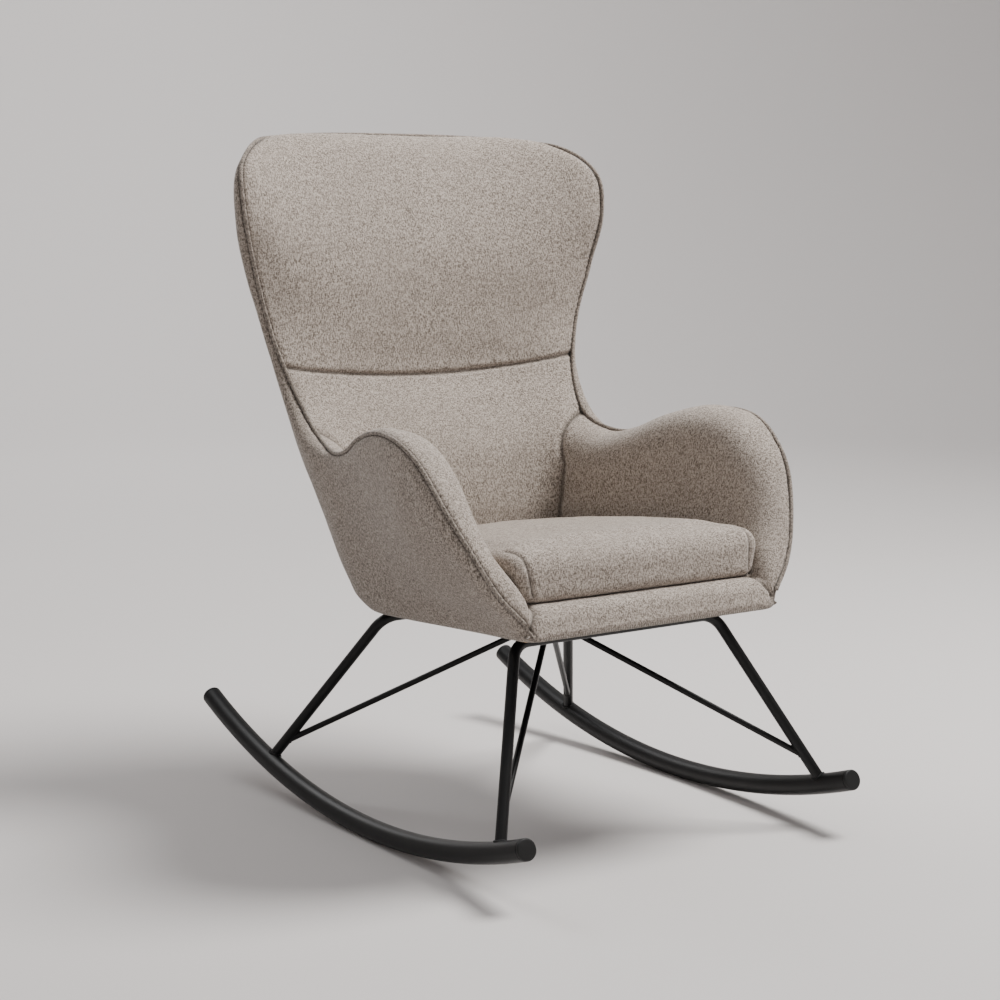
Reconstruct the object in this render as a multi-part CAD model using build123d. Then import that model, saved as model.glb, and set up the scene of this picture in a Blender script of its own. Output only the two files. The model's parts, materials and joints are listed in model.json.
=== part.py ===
from build123d import *
import math
import os

# Upholstered rocking chair: a padded tub shell on a black steel rocker base.
#
# Millimetres, +Z up, +X to the sitter's left, the chair faces -Y.  Every piece is drawn about
# the line where the runners touch the floor (y = 0), and place() then moves it so that the
# origin is the centre of the chair's footprint, on the floor.

# ---------------------------------------------------------------- rocker base
runner_radius = 1175.0          # centreline radius of the rocker arcs
tube_r = 15.0                   # 30 mm round tube
tube_wall = 1.8
runner_half_gap = 285.0         # centreline of each runner from the centre plane
front_sweep = 19.3              # degrees of arc from the floor contact to the front end
rear_sweep = 23.6
cap_flange = 5.0                # plastic end cap, part outside the tube
cap_spigot = 18.0
rod_r = 8.0                     # 16 mm bent legs
rod_bend = 34.0
brace_r = 4.5                   # 9 mm braces
front_leg_sweep = -16.45        # where each leg stands on its runner, degrees of arc
rear_leg_sweep = 13.95
front_bar_y = -211.0            # crossbars under the seat
rear_bar_y = 134.0
front_bar_half = 176.0          # half length of a crossbar, to the middle of its bends
rear_bar_half = 171.0
front_brace_at = 0.16           # share of the leg's height where its brace starts
rear_brace_at = 0.13
hub_y = -50.0                   # the braces meet here

# ---------------------------------------------------------------- seat underside
seat_fall = 0.06                # the underside drops this much per mm towards the back
front_edge_y = -291.0
front_edge_z = 323.0            # underside height at front_edge_y
dust_cover_t = 1.0
board_t = 15.0
pad_t = 30.5
seat_rise = dust_cover_t + board_t + pad_t
plate_t = 5.0                   # steel mounting plates, welded on the crossbars
plate_x = 40.0
plate_y = 60.0
plate_half_gap = 104.0
bolt_offset = 20.0              # bolts stand this far before and behind the crossbar
bolt_r = 2.95
hub_plate_size = 84.0
hub_plate_t = 4.0
hub_boss_r = 16.0
hub_boss_h = 25.0
hub_screw_offset = 30.0

# ---------------------------------------------------------------- upholstered shell
cover_t = 4.0                   # outer cover with its wadding
ply_t = 12.0
rail_inner_y = -262.0           # back of the front rail's padding
arm_back_seam_y = 185.0
lumbar_seam_z = 641.0
mitre_lean = 0.58               # slope of the mitre between the front rail and each arm
piping_r = 3.0
piping_clear = 3.0              # the cord's straight runs stay this far off the curved edge
cover_seam_x = 180.0            # upright seams of the outside cover, behind the rear corners
top_z = 1006.0                  # top of the back
top_half = 348.0                # front view of the back: half width and corner radius
top_corner_r = 92.0
mitre_half = 196.0              # half width of the front rail at the mitres, on the seat plane

# Plywood formers: level rings (name, height, front end) and upright ribs (thickness ply_t)
RINGS = [
    ("frame_ring_seat", 430, -200),
    ("frame_ring_arm", 510, -165),
    ("frame_ring_lumbar", 620, 290),
    ("frame_ring_back", 780, 300),
    ("frame_ring_top", 915, 320),
]
rib_x = 120.0                   # upright ribs in the back, either side of the middle
arm_rib_y = -12.0               # ribs across each arm
arm_post_y = -157.0
back_rib_top = 915.0
arm_rib_top = 510.0
former_depth = 26.0             # foam in front of the formers
cavity_half = 178.0             # between the formers the back is open, this far each way

def underside_z(y):
    """Height of the shell's flat underside at this y."""
    return front_edge_z - seat_fall * (y - front_edge_y)


# Outside of the shell, one row per level: height, half width at the front, half width where
# the rear corner starts, the back's distance behind the floor contact, the depth of the rear
# corners and how square they are (2 is an ellipse).
OUTSIDE = [
    (286, 190, 192, 165, 140, 2.9),
    (300, 205, 210, 188, 145, 2.9),
    (319, 216, 223, 211, 148, 2.9),
    (342, 228, 228, 228, 150, 2.9),
    (383, 260, 239, 248, 154, 2.9),
    (424, 285, 249, 266, 161, 2.86),
    (479, 308, 261, 291, 169, 2.84),
    (537, 320, 276, 316, 177, 2.8),
    (592, 326, 289, 336, 188, 2.75),
    (684, 316, 316, 365, 210, 2.6),
    (798, 351, 351, 391, 236, 2.4),
    (870, 368, 368, 402, 250, 2.3),
    (935, 368, 368, 404, 251, 2.3),
    (980, 350, 350, 400, 251, 2.3),
    (1020, 325, 325, 392, 251, 2.3),
]

# Inside of the shell, in the same columns.
INSIDE = [
    (296, 165, 160, 140, 55, 5.0),
    (369, 202, 184, 186, 60, 5.0),
    (430, 226, 194, 190, 62, 5.0),
    (480, 238, 196, 197, 68, 4.8),
    (540, 242, 206, 214, 85, 4.2),
    (590, 244, 226, 237, 105, 3.3),
    (625, 246, 240, 260, 110, 2.7),
    (650, 252, 252, 264, 105, 2.5),
    (700, 264, 264, 260, 95, 2.4),
    (760, 280, 280, 268, 84, 2.2),
    (850, 298, 298, 290, 78, 2.2),
    (930, 302, 302, 316, 82, 2.2),
    (990, 296, 296, 346, 90, 2.2),
    (1030, 290, 290, 372, 95, 2.2),
]

# Side view of the shell's front and top edge, from the front corner over the arm, down into
# the dip behind it, up the wing and over the top: y, z.
SIDE_EDGE = [
    (-306, underside_z(-306)),
    (-287, 385),
    (-252, 464),
    (-206, 538),
    (-142, 584),
    (-80, 593),
    (0, 577),
    (70, 549),
    (125, 539),
    (185, 557),
    (238, 620),
    (262, 700),
    (261, 800),
    (254, 875),
    (266, 945),
    (300, 990),
    (352, top_z),
    (398, 992),
    (424, 950),
]

# The piping follows the same edge, set in from the shell's outside: x, y, z.
PIPING = [
    (214, -303, 341),
    (251, -288, 384),
    (280, -262, 444),
    (303, -230, 503),
    (312, -189, 552),
    (316, -147, 581),
    (316, -94, 593),
    (308, -36, 586),
    (289, 42, 559),
    (262, 118, 539),
    (250, 182, 555),
    (258, 236, 616),
    (281, 261, 700),
    (309, 262, 800),
    (328, 254, 880),
    (329, 262, 928),
    (319, 276, 964),
    (296, 304, 991),
    (252, 352, 1003),
    (150, 374, 1004),
]

# Loose seat cushion
cushion_gap = 1.5               # clear of the arms and the back
cushion_rest = 0.5              # clear of the seat pad
cushion_front_y = -280.0
cushion_front_top = 446.0       # height of the top face above the front edge
cushion_fall = 0.105            # slope of the top face towards the back
cushion_skin = 2.0


# ================================================================ frames and helpers
def arc_point(sweep):
    """Point on a runner's centreline, as (y, z), this many degrees from the floor contact."""
    t = math.radians(sweep)
    return runner_radius * math.sin(t), tube_r + runner_radius * (1 - math.cos(t))


def reach(sweep):
    """Furthest y that an end cap reaches."""
    t = math.radians(sweep)
    tip = runner_radius + tube_r
    return tip * math.sin(t) + cap_flange * math.cos(t)


contact_y = -(reach(rear_sweep) - reach(front_sweep)) / 2
tilt = math.degrees(math.atan(seat_fall))


def under(x, y, up=0.0):
    """Location on the underside, tilted with it; up is measured square to it."""
    return Location((x, y, underside_z(y)), (-tilt, 0, 0)) * Location((0, 0, up))


def place(shape):
    return Pos(0, contact_y, 0) * shape


def save(node, shape):
    export_step(place(shape), f"parts/{node}.step")


def mirrored(shape):
    return mirror(shape, about=Plane.YZ)


def save_pair(name, left_shape):
    """Write the piece at +X as NAME_left, on the sitter's left, and its mirror as NAME_right."""
    save(f"{name}_left", left_shape)
    save(f"{name}_right", mirrored(left_shape))


def half_space(side):
    """Everything on one side of the centre plane; side is 1 at the sitter's left."""
    return Pos(side * 500, 0, 500) * Box(1000, 2000, 2000)


def save_halves(name, both_sides):
    """Write the two sides of a shape that crosses no centre plane as two nodes."""
    save(f"{name}_left", both_sides & half_space(1))
    save(f"{name}_right", both_sides & half_space(-1))


def cord_path(points):
    """Straight runs joined by tangent arcs as large as the runs allow."""
    spots = [Vector(*p) for p in points]
    radii = []
    for before, here, after in zip(spots, spots[1:], spots[2:]):
        turn = (here - before).get_angle(after - here)
        shorter = min((here - before).length, (after - here).length)
        radii.append(0.45 * shorter / math.tan(math.radians(turn) / 2))
    return FilletPolyline(*points, radius=radii)


def slab(low, high, reach_x=500.0, reach_y=600.0):
    """Slab between two heights square to the shell's underside."""
    return under(0, 0, (low + high) / 2) * Box(2 * reach_x, 2 * reach_y, high - low)


def between(z_low, z_high):
    """Level slab between two heights."""
    return Pos(0, 0, (z_low + z_high) / 2) * Box(1200, 1400, z_high - z_low)


def rod(path, radius):
    """Round bar along a path."""
    start = path.wires()[0] if path.wires() else path
    section = Plane(origin=start @ 0, z_dir=start % 0) * Circle(radius)
    return sweep(section, path=start)


# ================================================================ rocker base
def runner():
    """Bent tube that the chair rocks on, at +X."""
    axis = Axis((runner_half_gap, 0, tube_r + runner_radius), (1, 0, 0))
    ring = Circle(tube_r) - Circle(tube_r - tube_wall)
    section = Plane(origin=(runner_half_gap, 0, tube_r), z_dir=(0, 1, 0)) * ring
    start = section.rotate(axis, -front_sweep)
    return revolve(start, axis=axis, revolution_arc=front_sweep + rear_sweep)


def runner_core():
    """The runner as a solid bar, to cut other pieces against."""
    axis = Axis((runner_half_gap, 0, tube_r + runner_radius), (1, 0, 0))
    section = Plane(origin=(runner_half_gap, 0, tube_r), z_dir=(0, 1, 0)) * Circle(tube_r)
    start = section.rotate(axis, -front_sweep)
    return revolve(start, axis=axis, revolution_arc=front_sweep + rear_sweep)


def end_cap(sweep, outward):
    """Plastic plug in a runner's end; outward is -1 at the front and 1 at the rear."""
    y, z = arc_point(sweep * outward)
    t = math.radians(sweep * outward)
    direction = Vector(0, math.cos(t), math.sin(t)) * outward
    face = Plane(origin=(runner_half_gap, y, z), z_dir=direction)
    head = extrude(face * Circle(tube_r), cap_flange)
    rim = head.edges().sort_by(Axis(face.origin, direction))[-1]
    head = fillet(rim, 2.0)
    spigot = extrude(face * Circle(tube_r - tube_wall - 0.2), -cap_spigot)
    return head + spigot


def bar_centre(bar_y):
    """Middle of a crossbar, as (y, z): it lies against the mounting plates."""
    centre = under(0, bar_y, -plate_t - rod_r).position
    return centre.Y, centre.Z


def leg_path(sweep, bar_y, bar_half):
    """Centreline of a bent rod: up from one runner, across under the seat and down again."""
    foot_y, foot_z = arc_point(sweep)
    mid_y, mid_z = bar_centre(bar_y)
    corners = [
        (-runner_half_gap, foot_y, foot_z),
        (-bar_half, mid_y, mid_z),
        (bar_half, mid_y, mid_z),
        (runner_half_gap, foot_y, foot_z),
    ]
    return FilletPolyline(*corners, radius=rod_bend)


def leg_frame(sweep, bar_y, bar_half):
    bar = rod(leg_path(sweep, bar_y, bar_half), rod_r)
    core = runner_core()
    return bar - core - mirrored(core)


def brace(sweep, bar_y, bar_half, share, leg, hub):
    """Thin rod from a leg, just above the runner, to the hub under the seat; at +X."""
    foot_y, foot_z = arc_point(sweep)
    foot = Vector(runner_half_gap, foot_y, foot_z)
    knee = Vector(bar_half, *bar_centre(bar_y))
    start = foot + (knee - foot) * share
    centre = under(0, hub_y, -hub_plate_t - 0.5 * hub_boss_h).position
    body = rod(Line(start, centre), brace_r)
    pieces = (body - leg - hub).solids()
    return pieces.sort_by(SortBy.VOLUME)[-1]


def hub_block():
    """Plate under the seat with the boss that the four braces are welded to."""
    plate = Pos(0, 0, -hub_plate_t / 2) * Box(hub_plate_size, hub_plate_size, hub_plate_t)
    boss = Pos(0, 0, -hub_plate_t - hub_boss_h / 2) * Cylinder(hub_boss_r, hub_boss_h)
    hole = Cylinder(2.2, 2 * hub_plate_t)
    holes = [Pos(x, y, -hub_plate_t / 2) * hole for x, y in hub_screw_spots()]
    return under(0, hub_y) * (plate + boss - holes)


def hub_screw_spots():
    offset = hub_screw_offset
    return [(x, y) for x in (-offset, offset) for y in (-offset, offset)]


def mount_plate():
    """Flat steel plate with two bolt holes; the crossbar runs under its middle."""
    plate = Pos(0, 0, -plate_t / 2) * Box(plate_x, plate_y, plate_t)
    plate = fillet(plate.edges().filter_by(Axis.Z), 6.0)
    for side in (-1, 1):
        plate -= Pos(0, side * bolt_offset, -plate_t / 2) * Cylinder(3.3, 2 * plate_t)
    return plate


def bolt_spots():
    """Where the eight mounting bolts stand on the underside."""
    spots = []
    for bar_y in (front_bar_y, rear_bar_y):
        for x in (-plate_half_gap, plate_half_gap):
            for side in (-1, 1):
                spots.append(under(x, bar_y) * Location((0, side * bolt_offset, 0)))
    return spots


def mount_bolt():
    head = Pos(0, 0, -plate_t - 2) * Cylinder(5.5, 4)
    socket = Pos(0, 0, -plate_t - 3) * extrude(RegularPolygon(2.3, 6), 2.2, both=True)
    shank = Pos(0, 0, (board_t - plate_t) / 2) * Cylinder(bolt_r, board_t + plate_t)
    return head + shank - socket


def tee_nut():
    top = dust_cover_t + board_t
    flange = Pos(0, 0, top - 0.75) * Cylinder(9, 1.5)
    barrel = Pos(0, 0, top - 5) * Cylinder(4, 10)
    bore = Pos(0, 0, top - 5) * Cylinder(3, 12)
    return flange + barrel - bore


def hub_screw():
    head = Pos(0, 0, -hub_plate_t - 1.5) * Cylinder(4.2, 3)
    shank = Pos(0, 0, 4) * Cylinder(2, 16)
    cross = Pos(0, 0, -hub_plate_t - 3) * (Box(4, 1, 2) + Box(1, 4, 2))
    return head + shank - cross


# ================================================================ upholstered shell
def corner_points(half_width, start_y, depth, squareness):
    """Quarter superellipse from the side at start_y to the middle of the back."""
    points = []
    for degrees in (0, 22, 44, 64, 79):
        t = math.radians(degrees)
        x = half_width * math.cos(t) ** (2 / squareness)
        y = start_y + depth * math.sin(t) ** (2 / squareness)
        points.append((x, y))
    return points


def closed_section(z, half_points, back_y):
    """Face at height z: a smooth line from one front corner round the back to the other."""
    mirrored_points = [(-x, y) for x, y in reversed(half_points)]
    points = half_points + [(0, back_y)] + mirrored_points
    curve = Spline(*points, tangents=[(0, 1), (0, -1)])
    front = Line(points[-1], points[0])
    return Pos(0, 0, z) * make_face(Wire([curve.edge(), front.edge()]))


def tub(levels, grow, front_y, side_y):
    """Closed solid through level sections, with its surface moved out by grow."""
    sections = []
    for z, front_half, rear_half, back, depth, squareness in levels:
        half = [(front_half + grow, front_y), (front_half + grow, side_y)]
        half += corner_points(rear_half + grow, back - depth, depth + grow, squareness)
        sections.append(closed_section(z, half, back + grow))
    return loft(sections, ruled=True)


def outside(inset=0.0):
    """Everything inside the shell's outer surface, or inside a surface set in from it."""
    return tub(OUTSIDE, -inset, -340, -190)


def inside(outset=0.0):
    """The hollow that the sitter and the cushion fill, open to the front and the top."""
    return tub(INSIDE, outset, -440, -200)


def side_block():
    """The shell's side view, as thick as the chair is wide."""
    rear_y = 460
    edge = Spline(*SIDE_EDGE)
    last = SIDE_EDGE[-1]
    rest = Polyline(last, (rear_y, last[1] - 60), (rear_y, underside_z(rear_y)), SIDE_EDGE[0])
    view = make_face(Wire([edge.edge()] + rest.edges()))
    return extrude(Plane.YZ * view, 450, both=True)


def front_block():
    """The shell's front view: flat top with round corners."""
    height = 800
    block = Pos(0, 0, top_z - height / 2) * Box(2 * top_half, 1200, height)
    corners = block.edges().filter_by(Axis.Y).group_by(Axis.Z)[-1]
    return fillet(corners, top_corner_r)


def seat_plane_block():
    """Everything above the seat pad and the front rail, tilted like the underside."""
    return slab(seat_rise, seat_rise + 900, reach_y=900)


def wedge():
    """Space between the two mitre planes of the front rail."""
    rail_top_z = underside_z(cushion_front_y) + seat_rise
    height = 200
    low = rail_top_z - height
    high = rail_top_z + height
    half_low = mitre_half + height * mitre_lean
    half_high = mitre_half - height * mitre_lean
    corners = [(-half_low, low), (half_low, low), (half_high, high), (-half_high, high)]
    outline = Polyline(*corners, close=True)
    return extrude(Plane.XZ * make_face(outline), 700, both=True)


def piping():
    """Covered cord over both arms, up the wings and across the top, standing on the edge."""
    edge = Spline(*SIDE_EDGE).edge()
    left = []
    for x, y, z in PIPING:
        spot = edge.distance_to_with_closest_points(Vector(y, z, 0))[1]
        along = edge.tangent_at(edge.param_at_point(spot))
        rise = piping_r + piping_clear
        left.append((x, spot.X - rise * along.Y, spot.Y + rise * along.X))
    right = [(-x, y, z) for x, y, z in reversed(left)]
    return rod(cord_path(left + right), piping_r)


def build_shell():
    """The padded shell's whole nodes, and those that have a left and a right half."""
    outer = outside()
    cover_back = outside(cover_t)
    hollow = inside()
    frame_front = inside(former_depth)
    view = side_block() & front_block()
    above_seat = seat_plane_block()
    block = outer & view
    skin = block - cover_back
    body = block & cover_back
    board_top = dust_cover_t + board_t
    pad_zone = Pos(0, 500 + rail_inner_y, 500) * Box(1200, 1000, 1200)
    pad = hollow & slab(board_top, seat_rise) & pad_zone
    wall = body - (hollow & above_seat) - slab(-60, board_top) - pad

    # plywood deck, dust cover and seat pad
    behind_rail = Pos(0, 500 + front_edge_y, 500) * Box(1200, 1000, 1200)
    deck = (body & slab(dust_cover_t, board_top)) & behind_rail
    dust = (outside(14.0) & slab(0, dust_cover_t)) & behind_rail
    for spot in bolt_spots():
        deck -= spot * Pos(0, 0, board_top / 2) * Cylinder(4, 2 * board_top)
        deck -= spot * Pos(0, 0, board_top) * Cylinder(9, 3)
        dust -= spot * Cylinder(4, 8)
    for x, y in hub_screw_spots():
        hole = under(0, hub_y) * Pos(x, y, 6) * Cylinder(2, 12)
        deck -= hole
        dust -= hole

    # plywood formers: level rings and upright ribs between the two surfaces
    core = (cover_back & view) - frame_front
    rings = {}
    for name, z, front_y in RINGS:
        keep = Pos(0, front_y + 500, z) * Box(1200, 1000, ply_t)
        rings[name] = core & keep
    ribs = {}
    above_board = slab(board_top, 900)
    back_slice = Pos(rib_x, 320, 600) * Box(ply_t, 280, 900)
    zones = {
        "back_rib": (back_slice + mirrored(back_slice), back_rib_top),
        "arm_rib": (Pos(0, arm_rib_y, 600) * Box(1200, ply_t, 900), arm_rib_top),
        "arm_post": (Pos(0, arm_post_y, 600) * Box(1200, ply_t, 900), arm_rib_top),
    }
    for name, (zone, top) in zones.items():
        rib = core & zone & above_board & between(200, top)
        for ring in rings.values():
            rib -= ring
        ribs[name] = rib

    # foam over the formers; the back is open behind it, up to the top ring
    top_ring_z = RINGS[-1][1] - ply_t / 2
    cavity = Pos(0, arm_back_seam_y + 500, 600) * Box(2 * cavity_half, 1000, 1400)
    cavity = core & cavity & above_board & between(200, top_ring_z)
    foam = wall - cavity
    for ring in rings.values():
        foam -= ring
    for rib in ribs.values():
        foam -= rib
    behind_seam = Pos(0, 500 + arm_back_seam_y, 600) * Box(1200, 1000, 1400)
    back = foam & behind_seam
    front = foam - behind_seam
    rail_zone = Pos(0, rail_inner_y - 500, 300) * Box(1200, 1000, 400)
    rail_zone = rail_zone & wedge()
    rail_zone = rail_zone - above_seat
    rail = front & rail_zone
    arms = front - rail_zone
    behind_corner = Pos(0, 500, 600) * Box(2 * cover_seam_x, 1000, 1400)
    nodes = {
        "outside_back_cover": skin & behind_corner,
        "seat_deck_board": deck,
        "dust_cover": dust,
        "seat_pad": pad,
        "back_padding_upper": back & between(lumbar_seam_z, 1100),
        "back_padding_lumbar": back & between(200, lumbar_seam_z),
        "front_rail_padding": rail,
    }
    nodes.update(rings)
    halves = {"arm_padding": arms, "outside_arm_cover": skin - behind_corner}
    halves.update(ribs)
    return nodes, halves


def build_cushion():
    """Loose seat cushion: foam core and its sewn cover."""
    outer = cushion_block(0.0)
    core = cushion_block(cushion_skin)
    return outer - core, core


def cushion_block(inset):
    """The seat cushion's outside, or a surface set in from it."""
    room = inside(-cushion_gap - inset)
    rise = seat_rise + cushion_rest + inset
    angle = math.degrees(math.atan(cushion_fall))
    top_plane = Location((0, cushion_front_y, cushion_front_top - inset), (-angle, 0, 0))
    under_top = top_plane * Pos(0, 0, -100) * Box(900, 1400, 200)
    behind_front = Pos(0, 500 + cushion_front_y + inset, 500) * Box(900, 1000, 1000)
    return room & slab(rise, 400) & under_top & behind_front


def main():
    os.makedirs("parts", exist_ok=True)
    front_leg = leg_frame(front_leg_sweep, front_bar_y, front_bar_half)
    rear_leg = leg_frame(rear_leg_sweep, rear_bar_y, rear_bar_half)
    hub = hub_block()
    save_pair("runner", runner())
    save_pair("runner_cap_front", end_cap(front_sweep, -1))
    save_pair("runner_cap_rear", end_cap(rear_sweep, 1))
    save("front_leg_frame", front_leg)
    save("rear_leg_frame", rear_leg)
    save("brace_hub", hub)
    front_brace = brace(front_leg_sweep, front_bar_y, front_bar_half, front_brace_at, front_leg, hub)
    rear_brace = brace(rear_leg_sweep, rear_bar_y, rear_bar_half, rear_brace_at, rear_leg, hub)
    save_pair("brace_front", front_brace)
    save_pair("brace_rear", rear_brace)
    save_pair("mount_plate_front", under(plate_half_gap, front_bar_y) * mount_plate())
    save_pair("mount_plate_rear", under(plate_half_gap, rear_bar_y) * mount_plate())
    save("mount_bolts", Compound([spot * mount_bolt() for spot in bolt_spots()]))
    save("tee_nuts", Compound([spot * tee_nut() for spot in bolt_spots()]))
    screws = [under(0, hub_y) * Pos(x, y, 0) * hub_screw() for x, y in hub_screw_spots()]
    save("hub_screws", Compound(screws))
    nodes, halves = build_shell()
    for node, shape in nodes.items():
        save(node, shape)
    for name, shape in halves.items():
        save_halves(name, shape)
    save("piping", piping())
    cover, core = build_cushion()
    save("cushion_cover", cover)
    save("cushion_core", core)
    print("floor contact at y =", round(contact_y, 2))


main()
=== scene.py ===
# %% [markdown]
# # An upholstered rocking chair
# The chair is a padded tub shell on a black steel rocker base.  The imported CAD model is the
# frame: it gives the place of every piece.  Here each soft piece gets its sewn, rounded shape
# and its cloth, and the steel gets its coating.  Lengths are in metres unless a name ends in mm.

# %% Load the frame
import contextlib
import json
import math

import bmesh
import bpy
import numpy as np
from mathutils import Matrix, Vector, kdtree


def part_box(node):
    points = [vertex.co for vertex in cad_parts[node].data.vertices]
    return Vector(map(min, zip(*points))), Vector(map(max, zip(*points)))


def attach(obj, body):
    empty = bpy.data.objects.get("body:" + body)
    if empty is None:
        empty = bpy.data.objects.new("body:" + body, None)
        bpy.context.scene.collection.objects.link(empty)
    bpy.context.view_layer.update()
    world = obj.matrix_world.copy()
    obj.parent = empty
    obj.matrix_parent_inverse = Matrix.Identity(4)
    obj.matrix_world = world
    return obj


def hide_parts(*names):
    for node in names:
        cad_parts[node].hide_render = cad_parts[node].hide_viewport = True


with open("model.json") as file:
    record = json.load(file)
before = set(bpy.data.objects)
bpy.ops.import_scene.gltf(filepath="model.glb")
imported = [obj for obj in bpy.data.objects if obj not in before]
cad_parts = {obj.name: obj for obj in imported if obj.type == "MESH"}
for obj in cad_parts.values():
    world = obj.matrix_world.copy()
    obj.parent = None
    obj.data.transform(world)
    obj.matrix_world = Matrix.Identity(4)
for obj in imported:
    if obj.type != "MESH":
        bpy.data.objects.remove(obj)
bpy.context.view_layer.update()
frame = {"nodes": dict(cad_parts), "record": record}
scene = bpy.context.scene

# %% [markdown]
# ## Camera, floor and light
# The camera stands in front of the chair, on the sitter's right, with the long lens that a
# furniture studio uses.

# %% Camera
camera_data = bpy.data.cameras.new("camera")
camera_data.sensor_width = 36.0
camera_data.lens = 75.6
camera = bpy.data.objects.new("camera", camera_data)
camera_yaw = 0.6093
camera_pitch = 0.1407
camera.location = (-1.7871, -2.5265, 0.8954)
camera.rotation_euler = (math.pi / 2 - camera_pitch, 0.0, -camera_yaw)
scene.collection.objects.link(camera)
scene.camera = camera
print("camera at", tuple(round(v, 3) for v in camera.location))


# %% [markdown]
# ## Shader sums as plain Python
# A material here is a sum of a few patterns.  The class below holds one output of a node, so
# that `0.5 + warp * 0.2` adds the Math nodes by itself.  Paint makes every other node.

# %% Sockets that add up
class Field:
    """A number that varies over a surface, as the output of a shader node."""

    def __init__(self, paint, socket):
        self.paint = paint
        self.socket = socket

    def combine(self, operation, *others):
        values = [o.socket if isinstance(o, Field) else o for o in others]
        return self.paint.node("ShaderNodeMath", {"operation": operation}, *values)

    def __add__(self, other):
        return self.combine("ADD", self, other)

    def __radd__(self, other):
        return self.combine("ADD", other, self)

    def __sub__(self, other):
        return self.combine("SUBTRACT", self, other)

    def __rsub__(self, other):
        return self.combine("SUBTRACT", other, self)

    def __mul__(self, other):
        return self.combine("MULTIPLY", self, other)

    def __rmul__(self, other):
        return self.combine("MULTIPLY", other, self)

    def smooth(self, low, high):
        """0 below low, 1 above high, and a soft step between."""
        settings = {"interpolation_type": "SMOOTHSTEP"}
        return self.paint.node("ShaderNodeMapRange", settings, self.socket, low, high, 0.0, 1.0)


class Paint:
    """One material and the nodes that are made in it."""

    def __init__(self, name):
        self.material = bpy.data.materials.new(name)
        self.material.use_nodes = True
        self.tree = self.material.node_tree
        self.shader = self.tree.nodes["Principled BSDF"]
        self.place = self.node("ShaderNodeTexCoord", {}, output="Object")

    def node(self, kind, settings, *values, output=0, **named):
        """Make a node: its settings first, then its sockets in order or by name."""
        made = self.tree.nodes.new(kind)
        for key, value in settings.items():
            setattr(made, key, value)
        pairs = list(zip(made.inputs, values)) + [(made.inputs[k], v) for k, v in named.items()]
        for socket, value in pairs:
            value = value.socket if isinstance(value, Field) else value
            if isinstance(value, bpy.types.NodeSocket):
                self.tree.links.new(value, socket)
            else:
                socket.default_value = value
        return Field(self, made.outputs[output])

    def stretched(self, scale, turn=(0.0, 0.0, 0.0)):
        """Object coordinates, scaled along each axis, so that noise becomes threads."""
        return self.node("ShaderNodeMapping", {}, Vector=self.place, Scale=scale, Rotation=turn)

    def noise(self, scale, detail=2.0, stretch=(1.0, 1.0, 1.0), turn=(0.0, 0.0, 0.0)):
        where = self.stretched(stretch, turn)
        return self.node("ShaderNodeTexNoise", {}, Vector=where, Scale=scale, Detail=detail)

    def mix(self, amount, colour_a, colour_b):
        made = self.tree.nodes.new("ShaderNodeMix")
        made.data_type = "RGBA"
        self.tree.links.new(amount.socket, made.inputs[0])
        for socket, colour in ((made.inputs[6], colour_a), (made.inputs[7], colour_b)):
            if isinstance(colour, Field):
                self.tree.links.new(colour.socket, socket)
            else:
                socket.default_value = (*colour, 1.0)
        return Field(self, made.outputs[2])

    def bump(self, height, strength, distance):
        normal = self.node("ShaderNodeBump", {}, Strength=strength, Distance=distance, Height=height)
        self.tree.links.new(normal.socket, self.shader.inputs["Normal"])

    def set(self, **constants):
        for key, value in constants.items():
            self.shader.inputs[key.replace("_", " ")].default_value = value

    def feed(self, name, field):
        self.tree.links.new(field.socket, self.shader.inputs[name])


print("shader helpers ready")

# %% [markdown]
# ## The cloth
# The cover is a heavy plain-and-twill weave spun from several greys and beiges, so close up it
# is speckled, with light slubs and dark gaps between the threads.  Threads are noise stretched
# one way: upright for the warp, level for the weft and aslant for the twill.  A 3-D pattern
# needs no unwrapping, so it runs over every roll without a join.  Where two covers meet, the
# attribute "seam" holds painted shade: it darkens the cloth's colour in the fold and beside the piping.

# %% Cloth materials
thread_pitch = 0.0016


def cloth(name, light, dark, relief=0.0010, turn=(0.0, 0.0, 0.0)):
    paint = Paint(name)
    per_metre = 1.0 / thread_pitch
    lean = (turn[0] + 0.6, turn[1] + 0.75, turn[2] + 0.2)
    warp = paint.noise(per_metre, 2.0, (1.0, 1.0, 0.40), turn)
    weft = paint.noise(per_metre, 2.0, (0.40, 0.40, 1.0), turn)
    twill = paint.noise(1.15 * per_metre, 2.0, (1.0, 1.0, 0.28), lean)
    speck = paint.noise(2.6 * per_metre, 1.0)
    patch = paint.noise(9.0, 3.0)
    threads = warp * 0.34 + weft * 0.28
    height = threads + twill * 0.38 + speck * 0.14
    tone = height.smooth(0.455, 0.685)
    slub = paint.noise(210.0, 2.0, (0.35, 0.35, 1.0), turn).smooth(0.60, 0.72)
    mid = tuple(0.5 * (a + b) for a, b in zip(light, dark))
    base = paint.mix(tone, dark, light)
    base = paint.mix(slub * 0.35, base, tuple(min(1.0, 1.22 * c) for c in light))
    base = paint.mix(patch.smooth(0.35, 0.75) * 0.22, base, mid)
    # painted shade: the "seam" attribute darkens the colour in the folds at the seams and beside the
    # piping
    seam = paint.node("ShaderNodeAttribute", {"attribute_name": "seam"}, output="Fac")
    base = paint.mix(seam * 0.72, base, tuple(0.42 * c for c in dark))
    paint.feed("Base Color", base)
    paint.feed("Roughness", 0.98 - tone * 0.12)
    paint.set(Sheen_Weight=0.18, Sheen_Roughness=0.45, Specular_IOR_Level=0.22)
    paint.bump(height, 1.0, relief)
    return paint.material


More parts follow.
